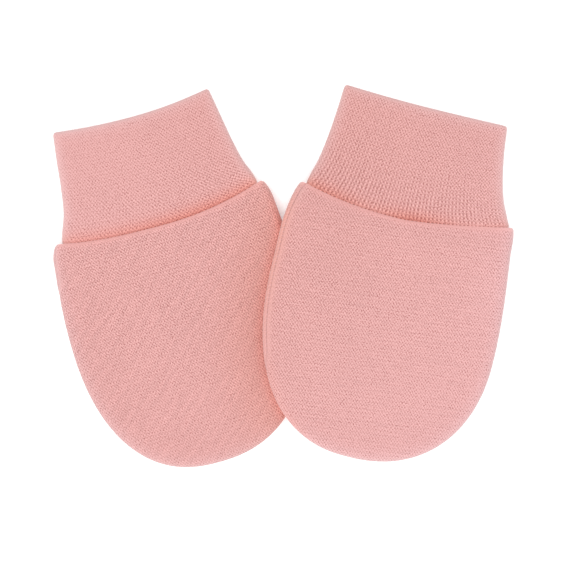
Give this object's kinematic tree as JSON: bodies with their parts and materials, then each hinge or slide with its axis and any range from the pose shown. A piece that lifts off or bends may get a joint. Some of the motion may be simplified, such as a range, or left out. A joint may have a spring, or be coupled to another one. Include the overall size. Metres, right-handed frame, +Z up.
{
  "type": "pair of baby mittens",
  "caption": "Pair of thumbless knit baby mittens laid flat, each a rounded hand bag with a folded rib cuff tucked under the wrist, the right one lapping over the left.",
  "frame": {"origin": "middle of the pair's bounding box, on the surface that the mittens lie on", "axes": "+X across the pair towards the right mitten, +Y towards the cuffs, +Z up from the surface"},
  "size_m": [0.1534, 0.1275, 0.0096],
  "materials": {
    "hand_jersey": "matte coral-pink cotton jersey knit",
    "cuff_rib": "matte coral-pink fine cotton rib knit, folded double"
  },
  "bodies": {
    "root": {"left_hand_front": "hand_jersey", "left_hand_back": "hand_jersey", "left_cuff": "cuff_rib", "right_hand_front": "hand_jersey", "right_hand_back": "hand_jersey", "right_cuff": "cuff_rib"}
  },
  "joints": []
}
